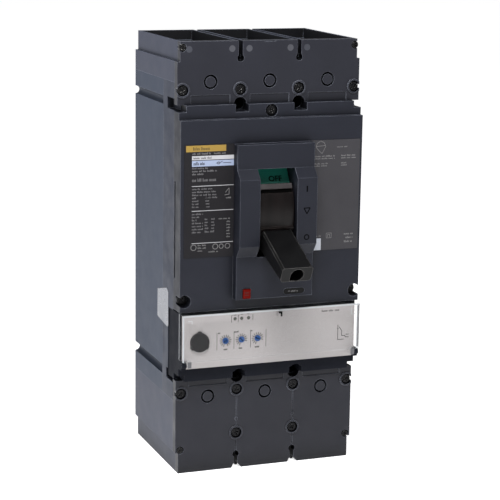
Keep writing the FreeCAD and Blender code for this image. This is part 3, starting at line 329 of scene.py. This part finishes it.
def dress(mat, *names):
    for name in names:
        for place in NODES[name].material_slots:
            place.material = M[mat]


for part in frame["record"]["subparts"]:
    if part["material_slot"] in M:
        dress(part["material_slot"], part["node"])
dress("lug_covers", "line_lug_cover", "load_lug_cover")
dress("shrouds", "line_terminal_shroud", "load_terminal_shroud")
dress("case_front", "front_cover")
dress("case_middle", "mid_cover")
dress("trip_housing", "trip_unit_housing")


# -------------------------------------------------------------------- pieces
BOX_QUADS = ((0, 1, 3, 2), (4, 6, 7, 5), (0, 4, 5, 1), (2, 3, 7, 6), (0, 2, 6, 4), (1, 5, 7, 3))


def add_piece(name, mesh, mat, body):
    """A new object that rides on a body, with one material and one slot name."""
    mesh.materials.append(M[mat])
    obj = bpy.data.objects.new(name, mesh)
    bpy.context.scene.collection.objects.link(obj)
    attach(obj, body)


def piece(name, solids, mat, body):
    """One piece made of closed solids, each of them a list of points in metres and a list of faces."""
    verts, faces = [], []
    for points, sides in solids:
        base = len(verts)
        verts += points
        faces += [tuple(i + base for i in side) for side in sides]
    mesh = bpy.data.meshes.new(name)
    mesh.from_pydata(verts, [], faces)
    mesh.validate()
    mesh.update()
    add_piece(name, mesh, mat, body)


def prism(points, front, back):
    """A flat closed outline of (x, z) points in mm as a solid, front and back being y in metres."""
    n = len(points)
    verts = [(x * MM, front, z * MM) for x, z in points] + [(x * MM, back, z * MM) for x, z in points]
    faces = [tuple(range(n)), tuple(range(2 * n - 1, n - 1, -1))]
    faces += [(i, i + n, (i + 1) % n + n, (i + 1) % n) for i in range(n)]
    return verts, faces


def box(x0, x1, y0, y1, z0, z1):
    return [(x * MM, y * MM, z * MM) for x in (x0, x1) for y in (y0, y1) for z in (z0, z1)], BOX_QUADS


def flat_marks(name, outlines, y, mat, body="housing"):
    """Printed marks on a face at y: one closed outline of (x, z) points each."""
    solids = [prism(points, y * MM - PRINT_T, y * MM) for points in outlines]
    piece(name, solids, mat, body)


def box_marks(name, boxes, mat, body="housing"):
    """Thin strips as boxes of (x0, x1, y0, y1, z0, z1)."""
    piece(name, [box(*sides) for sides in boxes], mat, body)


def shutter_strip(name, radius, low_angle, high_angle, half_width, mat):
    """A thin strip on the round front of the shutter, between two angles from the middle of the grip."""
    verts, faces = [], []
    steps = 8
    for i in range(steps + 1):
        a = math.radians(HANDLE_REST + low_angle + (high_angle - low_angle) * i / steps)
        for r in (radius, radius + STRIP_T):
            y, z = PIVOT_Y - r * math.cos(a), PIVOT_Z + r * math.sin(a)
            verts += [(-half_width * MM, y * MM, z * MM), (half_width * MM, y * MM, z * MM)]
    for i in range(steps):
        b = 4 * i
        faces += [(b + 2, b + 3, b + 7, b + 6), (b, b + 4, b + 5, b + 1), (b, b + 2, b + 6, b + 4),
                  (b + 1, b + 5, b + 7, b + 3)]
    end = 4 * steps
    faces += [(0, 1, 3, 2), (end, end + 2, end + 3, end + 1)]
    piece(name, [(verts, faces)], mat, "handle")


# ------------------------------------------------- outlines, all of (x, z) points
DICE = random.Random(11)


def rect(x0, x1, z0, z1):
    return [(x0, z0), (x1, z0), (x1, z1), (x0, z1)]


def stroke(x0, z0, x1, z1, w):
    """A straight line of width w."""
    length = math.hypot(x1 - x0, z1 - z0)
    dx, dz = -(z1 - z0) / length * w / 2, (x1 - x0) / length * w / 2
    return [(x0 + dx, z0 + dz), (x0 - dx, z0 - dz), (x1 - dx, z1 - dz), (x1 + dx, z1 + dz)]


def path_strokes(points, w):
    return [stroke(*a, *b, w) for a, b in zip(points, points[1:])]


def on_circle(x, z, r, n, count):
    """The first points of n on a circle."""
    turns = [2 * math.pi * i / n for i in range(count)]
    return [(x + r * math.cos(a), z + r * math.sin(a)) for a in turns]


def disc(x, z, r, n=32):
    return on_circle(x, z, r, n, n)


def ring_strokes(x, z, r, w, n=28):
    return path_strokes(on_circle(x, z, r, n, n + 1), w)


def small_print(x0, x1, z, height, pitch=0.3):
    """Short upright strokes in word-like groups, which stand for a line of small print."""
    marks = []
    x = x0
    while x < x1:
        for _ in range(DICE.randint(3, 7)):
            w = DICE.uniform(0.28, 0.52)
            if x + w > x1:
                break
            h = height * DICE.choice((0.62, 0.68, 0.7, 1.0))
            marks.append(rect(x, x + w, z, z + h))
            x += w + pitch
        x += 0.8
    return marks


def print_lines(*rows):
    """Several lines of small print, drawn in the order given."""
    return [mark for row in rows for mark in small_print(*row)]


# ---------------------------------------------------------------- left label
LABEL_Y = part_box("left_label")[0].y / MM
LABEL_TEXT_X = -61.3         # where the lines of the left label start


def left_label_print():
    flat_marks("label_brand_bar", [rect(-66.0, -36.0, 68.0, 72.5)], LABEL_Y, "ink_yellow")
    flat_marks("label_white_band", [rect(-61.6, -30.0, 62.1, 65.0)], LABEL_Y, "ink_white")
    flat_marks("label_blue_band", [rect(-61.6, -30.0, 57.4, 61.6)], LABEL_Y, "ink_blue")
    dark = print_lines((-60.6, -47.5, 69.1, 2.3, 0.5), (-60.5, -46.5, 62.8, 1.6), (-60.5, -52.0, 58.4, 2.4))
    dark += path_strokes([(-43.5, 59.5), (-40.8, 59.5), (-38.6, 60.8)], 0.35)
    dark += path_strokes([(-38.2, 59.5), (-32.0, 59.5)], 0.35) + ring_strokes(-41.6, 59.5, 0.9, 0.3, 16)
    flat_marks("label_band_print", dark, LABEL_Y - 0.05, "ink_dark")
    rules = [rect(-61.5, -30.0, z - 0.2, z + 0.2) for z in (43.3, 25.4, 1.9)]
    flat_marks("label_rules", rules, LABEL_Y, "ink_white")

    # one line over the bands, three under them and a larger one
    heading = ((-47.0, 65.9, 1.5), (-49.5, 55.6, 1.3), (-42.5, 53.5, 1.3), (-52.5, 51.4, 1.3),
               (-42.0, 46.6, 2.3, 0.4))
    text = print_lines(*((LABEL_TEXT_X, *row) for row in heading))
    # first table: its lines, then its column
    ends = (-45.5, -43.5, -43.0, -57.5, -56.5, -56.5, -56.5)
    text += print_lines(*((LABEL_TEXT_X, end, 40.7 - 2.15 * i, 1.2) for i, end in enumerate(ends)))
    text += print_lines(*((-51.5 + 0.3 * i, -48.0, 34.2 - 2.15 * i, 1.2) for i in range(4)))
    text += print_lines((-51.5, -41.0, 34.3, 1.2))
    # second table: its lines, then two columns side by side
    ends = (-52.5, -55.0, -58.0, -53.0, -53.0, -53.0, -54.5)
    text += print_lines(*((LABEL_TEXT_X, end, 22.6 - 2.2 * i, 1.2) for i, end in enumerate(ends)))
    columns = ((-51.6, -49.0), (-46.6, -44.0))
    text += print_lines(*((x0, x1, 18.6 - 2.2 * i, 1.2) for i in range(5) for x0, x1 in columns))
    text += print_lines((-51.6, -43.5, 9.4, 1.2))
    flat_marks("label_print", text, LABEL_Y, "ink_text")

    grey = print_lines((-45.0, -36.5, 66.0, 1.1))
    grey += path_strokes([(-36.2, 38.0), (-33.4, 41.2), (-33.4, 36.6), (-36.8, 36.2)], 0.4)
    grey += print_lines((-35.6, -32.0, 33.6, 1.1), (-41.0, -32.2, 18.6, 1.2))
    grey += print_lines(*((-35.0, -32.2, 16.2 - 2.2 * i, 1.2) for i in range(6)))
    for x, r in ((-60.0, 2.0), (-43.5, 1.9), (-39.0, 1.6), (-34.2, 1.8)):
        grey += ring_strokes(x, -1.1, r, 0.45)
    grey += print_lines((-56.8, -50.0, -0.2, 1.1), (-56.8, -49.5, -2.2, 1.1), (-56.8, -53.0, -4.2, 1.1),
                        (-48.5, -41.5, -5.2, 1.1))
    flat_marks("label_small_print", grey, LABEL_Y, "ink_grey")


# --------------------------------------------------------------- right label
def right_label_print():
    shield = [(34.2, 70.6), (36.8, 72.4), (39.8, 71.0), (41.0, 68.2), (38.2, 63.0), (35.0, 66.0), (33.4, 68.0),
              (34.2, 70.6)]
    grey = path_strokes(shield, 0.3) + path_strokes([(33.6, 68.4), (40.6, 68.9)], 0.3)
    grey += print_lines((50.0, 58.0, 67.2, 0.9))
    for z in (60.6, 58.9):
        grey += print_lines((32.6, 49.0, z, 1.1), (53.5, 65.0, z, 1.1))
    for z in (55.2, 53.6):
        grey += print_lines((32.6, 43.0, z, 1.0), (53.5, 58.0, z, 1.0))
    grey += print_lines((34.0, 38.6, 1.4, 1.2))
    frame_mark = [(43.0, 3.8), (47.0, 3.8), (47.0, 0.2), (43.0, 0.2), (43.0, 3.8)]
    grey += path_strokes(frame_mark, 0.3)
    grey += path_strokes([(44.1, 0.8), (44.1, 2.8), (45.8, 2.8), (45.8, 0.8)], 0.3)
    grey += print_lines((57.2, 64.2, 1.9, 1.6), (58.6, 64.2, -0.9, 1.6), (57.4, 64.2, -3.9, 1.6))
    flat_marks("rating_print", grey, LABEL_Y, "ink_grey")
    paper = [[(34.0, 0.2), (38.8, 0.2), (38.8, -8.6), (32.8, -8.6)]]
    flat_marks("date_sticker", paper, LABEL_Y, "sticker_paper")


# ---------------------------------------------------------- nose and handle
def nose_marks():
    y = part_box("front_cover")[0].y / MM
    dark = [rect(21.2, 22.2, 37.9, 42.2)]
    dark += path_strokes([(19.4, 26.0), (24.2, 26.0), (21.8, 21.8), (19.4, 26.0)], 0.7)
    dark += ring_strokes(21.9, 4.6, 1.75, 0.75)
    flat_marks("position_marks", dark, y, "groove_dark")
    press = print_lines((-23.3, -19.6, -35.4, 0.9, 0.2), (-23.3, -19.6, -37.2, 0.9, 0.2))
    button_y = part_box("trip_button")[0].y / MM
    flat_marks("button_marks", press, button_y, "button_ink", "trip_button")
    white = print_lines((13.2, 18.6, -37.0, 1.3, 0.2), (11.0, 12.6, -36.7, 0.9))
    flat_marks("rating_plate_print", white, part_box("rating_plate")[0].y / MM, "ink_grey")


def flag_lettering(name, node, text, side, rise):
    """ON or OFF on the front of its sloping plate behind the window. side is 1 above the pivot, -1 below."""
    low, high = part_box(node)
    near, deep = low.y / MM, high.y / MM - FLAG_T
    heights = sorted(abs(z / MM - PIVOT_Z) for z in (low.z, high.z))
    slope = Vector((0, deep - near, heights[1] - heights[0])).normalized()
    right, up = Vector((1, 0, 0)), Vector((0, slope.y * side, slope.z))
    place = Vector((3.7, (near + deep) / 2, PIVOT_Z + side * sum(heights) / 2))
    place += right.cross(up) * 0.03 + up * rise

    curve = bpy.data.curves.new(name, "FONT")
    curve.body = text
    curve.size = 5.9 * MM
    curve.align_x = "CENTER"
    curve.align_y = "CENTER"
    curve.extrude = 0.04 * MM
    curve.offset = 0.14 * MM     # makes the letters bolder
    made = bpy.data.objects.new(name, curve)
    bpy.context.scene.collection.objects.link(made)
    bpy.context.view_layer.update()
    mesh = bpy.data.meshes.new_from_object(made.evaluated_get(bpy.context.evaluated_depsgraph_get()))
    bpy.data.objects.remove(made)
    up = up.normalized()
    turn = Matrix((right, up, right.cross(up))).transposed().to_4x4()
    mesh.transform(Matrix.Translation(place * MM) @ turn)
    mesh.materials.clear()
    add_piece(name, mesh, "groove_dark", "housing")


def shutter_marks():
    shutter_strip("shutter_end_rib", SHIELD_R, 50.0, 55.3, 13.2, "shutter_grey")
    shutter_strip("shutter_lower_rib", SHIELD_R, -55.3, -50.0, 13.2, "shutter_grey")
    # painted highlight: a lighter strip along the shutter's lip
    shutter_strip("shutter_lip_shine", LIP_SHINE_R, 8.9, 10.4, 13.1, "shutter_gloss")
    shutter_strip("shutter_groove_shade", SHIELD_R - SHIELD_GROOVE_DEPTH, 45.7, 49.7, 13.1, "groove_dark")


# ----------------------------------------------------------------- trip unit
def dial_scale(number, x, z):
    """Ticks round a dial, a line of print under it and one over it. The first dial has two more ticks."""
    marks = []
    for i in range(12 if number else 14):
        a = math.radians(250 - i * (290 / 12))
        c, s = math.cos(a), math.sin(a)
        marks.append(stroke(x + 2.6 * c, z + 2.6 * s, x + 4.6 * c, z + 4.6 * s, 0.5))
    marks += small_print(x - 1.4 - 0.6 * (number > 0), x + 1.8, z - 7.1, 1.6, 0.18)
    marks += small_print(x - 5.8, x - 4.0 + 1.8 * (number == 1), z + 5.5, 1.5, 0.18)
    return marks


def trip_unit_print():
    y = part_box("left_label")[1].y / MM  # the faceplate lies level with the face behind the label
    dark = [mark for number, (x, z) in enumerate(DIALS) for mark in dial_scale(number, x, z)]
    dark += [rect(x - 0.16, x + 0.16, -78.5, -65.5) for x in (-41.3, -28.1, -15.2, -3.1)]
    for x in (-27.5, -22.3, -17.0):
        dark += ring_strokes(x, -55.9, 1.0, 0.6, 16)
    for x in (-30.2, -25.0):
        dark += path_strokes([(x + 0.9, -53.4), (x, -53.4), (x, -58.6)], 0.35)
    dark += path_strokes([(-13.6, -53.4), (-13.6, -57.6)], 0.35)
    dark += print_lines((-28.5, -26.0, -53.6, 0.8), (-23.0, -21.2, -53.2, 0.8), (-18.2, -15.6, -53.2, 0.8),
                        (41.0, 50.6, -55.8, 1.6), (51.6, 55.2, -55.8, 1.6))
    flat_marks("trip_unit_print", dark, y, "ink_dark")
    hook = [rect(5.3, 8.2, -53.5, -52.2), rect(6.8, 8.2, -55.8, -53.5)]
    flat_marks("seal_hook_shade", hook, y - SEAL_HOOK, "groove_dark")
    steps = [(55.4, -68.2), (57.6, -71.4), (57.6, -75.2), (60.4, -75.2), (60.4, -76.4), (63.4, -76.6)]
    curve = path_strokes([(54.4, -78.2), (54.4, -66.6)], 0.45) + path_strokes(steps, 0.45)
    curve += path_strokes([(54.4, -78.0), (59.4, -78.0)], 0.45)
    curve += path_strokes([(53.9, -69.6), (54.9, -69.6)], 0.45)
    curve += small_print(61.0, 63.2, -74.8, 0.9, 0.2)
    flat_marks("trip_curve_print", curve, y, "ink_dark")


def port_dimple_shade():
    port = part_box("test_port_cover")[0].y / MM
    grid = range(-4, 5, 2)
    # painted shade: near-black dots stand for the shade in the dimples of the test port cover
    dots = [disc(PORT[0] + x, PORT[1] + z, 0.22, 10) for x in grid for z in grid if x * x + z * z < 26]
    flat_marks("test_port_dimple_shade", dots, port, "groove_dark")


def dial_arrows():
    for number, ((x, z), degrees) in enumerate(zip(DIALS, (215, 130, 160)), 1):
        name = "dial_%d" % number
        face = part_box(name)[0].y / MM
        c, s = math.cos(math.radians(degrees)), math.sin(math.radians(degrees))
        shaft = stroke(x - 1.5 * c, z - 1.5 * s, x + 1.0 * c, z + 1.0 * s, 0.5)
        head = [(x + 1.9 * c, z + 1.9 * s), (x + 0.9 * c - 0.6 * s, z + 0.9 * s + 0.6 * c),
                (x + 0.9 * c + 0.6 * s, z + 0.9 * s - 0.6 * c)]
        flat_marks(name + "_arrow", [shaft, head], face, "groove_dark", name)


def side_slot_shade():
    boxes = [(side * 68.0, side * 68.0 + 0.04, -98.95, -96.45, -25.3, 45.5) for side in (-1, 1)]
    box_marks("side_slot_shade", boxes, "groove_dark")


def clear_cover_marks():
    """Frosted rims, corner snaps and hinge feet of the clear cover."""
    low, high = (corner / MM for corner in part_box("clear_trip_cover"))
    y, left, right, top, back = low.y, low.x, high.x, high.z, high.y
    foot = -84.3  # where the wall of the cover ends, above the hinge
    film = 0.04
    rims = [
        (left + 0.1, right - 0.1, y - film, y, top - 1.1, top - 0.2),
        (left + 0.1, right - 0.1, y + 0.2, y + 1.0, top, top + film),
        (left + 0.1, left + 0.8, y - film, y, foot, top - 1.2),
        (left - film, left, y + 0.1, y + 0.9, foot, top - 0.2),
        (left - film, left, back - 1.0, back - 0.2, foot, top - 0.2),
        (right - 2.4, right - 1.8, y - film, y, foot, top - 1.2),
    ]
    box_marks("cover_rims", rims, "frosted_rim", "trip_cover")
    side = [(right - 0.7, right - 0.1, y - film, y, foot, top - 0.2),
            (right - 1.7, right - 0.8, y - film, y, -83.0, top - 1.2)]
    box_marks("cover_side_wall", side, "frosted_grey", "trip_cover")
    snaps = path_strokes([(-65.4, -53.8), (-62.4, -53.8), (-62.4, -56.2)], 0.4)
    snaps += path_strokes([(62.6, -52.6), (62.6, -57.6), (65.8, -57.6)], 0.45)
    snaps += path_strokes([(64.0, -53.4), (65.4, -55.0)], 0.4)
    flat_marks("cover_snaps", snaps, y, "frosted_rim", "trip_cover")
    feet = [(x0, x1, y - film, y, -88.8, foot + 0.2) for x0, x1 in ((-65.6, -62.7), (62.7, 65.6))]
    box_marks("cover_feet_frost", feet, "frosted_grey", "trip_cover")


# --------------------------------------------------------------- lug covers
def lug_cover_marks():
    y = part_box("line_terminal_shroud")[0].y / MM - LUG_COVER_T
    for name, places, mat in (("ejector_marks", (-29.0, -16.0, 15.5), "mould_mark_light"),
                              ("ejector_marks_cool", (-61.2, 28.4), "mould_mark_cool")):
        flat_marks(name, [disc(x, 139.6, 2.35) for x in places], y, mat)
    plugs = [(x, z) for z in (116.3, -115.4) for x in (-44.8, 0.0, 44.8)]
    rings = [band for x, z in plugs for band in ring_strokes(x, z, 4.5, 1.36)]
    # painted shade: near-black rings at the bottom of the grooves round the plugs
    flat_marks("plug_groove_shade", rings, y + PLUG_GROOVE_DEPTH, "groove_dark")


left_label_print()
right_label_print()
nose_marks()
flag_lettering("off_lettering", "off_plate", "OFF", 1, -2.9)
flag_lettering("on_lettering", "on_plate", "ON", -1, -1.6)
shutter_marks()
trip_unit_print()
port_dimple_shade()
dial_arrows()
side_slot_shade()
clear_cover_marks()
lug_cover_marks()


# ------------------------------------ floor, light and camera, all in metres
def floor():
    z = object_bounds()[0].z - 0.0002
    size = 14.0
    mesh = bpy.data.meshes.new("floor")
    corners = [(-size, -size, z), (size, -size, z), (size, size, z), (-size, size, z)]
    mesh.from_pydata(corners, [], [(0, 1, 2, 3)])
    mat = bpy.data.materials.new("floor")
    mat.use_nodes = True
    shader = mat.node_tree.nodes["Principled BSDF"]
    shader.inputs["Base Color"].default_value = (0.9, 0.9, 0.9, 1)
    shader.inputs["Roughness"].default_value = 0.9
    shader.inputs["Emission Color"].default_value = (1, 1, 1, 1)
    shader.inputs["Emission Strength"].default_value = 0.78
    mesh.materials.append(mat)
    obj = bpy.data.objects.new("floor", mesh)
    bpy.context.scene.collection.objects.link(obj)
    obj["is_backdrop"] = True


def area_light(name, place, target, size, power):
    light = bpy.data.lights.new(name, "AREA")
    light.shape = "RECTANGLE"
    light.size, light.size_y = size
    light.energy = power
    obj = bpy.data.objects.new(name, light)
    obj.location = place
    obj.rotation_euler = (Vector(target) - Vector(place)).to_track_quat("-Z", "Y").to_euler()
    bpy.context.scene.collection.objects.link(obj)


def studio():
    world = bpy.data.worlds.new("studio")
    world.use_nodes = True
    world.node_tree.nodes["Background"].inputs["Color"].default_value = (1, 1, 1, 1)
    world.node_tree.nodes["Background"].inputs["Strength"].default_value = 0.24
    bpy.context.scene.world = world
    area_light("key", (-2.1, -0.35, 0.75), (0, -0.05, 0), (1.0, 1.2), 24)
    area_light("front_top", (-0.15, -0.45, 0.6), (0, -0.1, 0.1), (0.35, 0.25), 6)
    area_light("top", (0.1, 0.1, 1.8), (0, -0.05, 0), (1.2, 1.2), 3)


def camera():
    """The camera solved from the photograph: it stands left of the breaker and looks down on it."""
    yaw, pitch, roll = (math.radians(a) for a in (20.72, 11.78, 0.84))
    forward = Vector((math.sin(yaw) * math.cos(pitch), math.cos(yaw) * math.cos(pitch), -math.sin(pitch)))
    right = Vector((math.cos(yaw), -math.sin(yaw), 0))
    up = right.cross(forward)
    right, up = right * math.cos(roll) + up * math.sin(roll), up * math.cos(roll) - right * math.sin(roll)
    data = bpy.data.cameras.new("camera")
    data.sensor_width = 36
    data.lens = 122.3
    data.clip_start, data.clip_end = 0.05, 50
    obj = bpy.data.objects.new("camera", data)
    matrix = Matrix((right, up, -forward)).transposed().to_4x4()
    matrix.translation = Vector((-0.4429, -1.2369, 0.2459))
    obj.matrix_world = matrix
    bpy.context.scene.collection.objects.link(obj)
    bpy.context.scene.camera = obj


floor()
studio()
camera()
bpy.context.scene.view_settings.view_transform = "Standard"
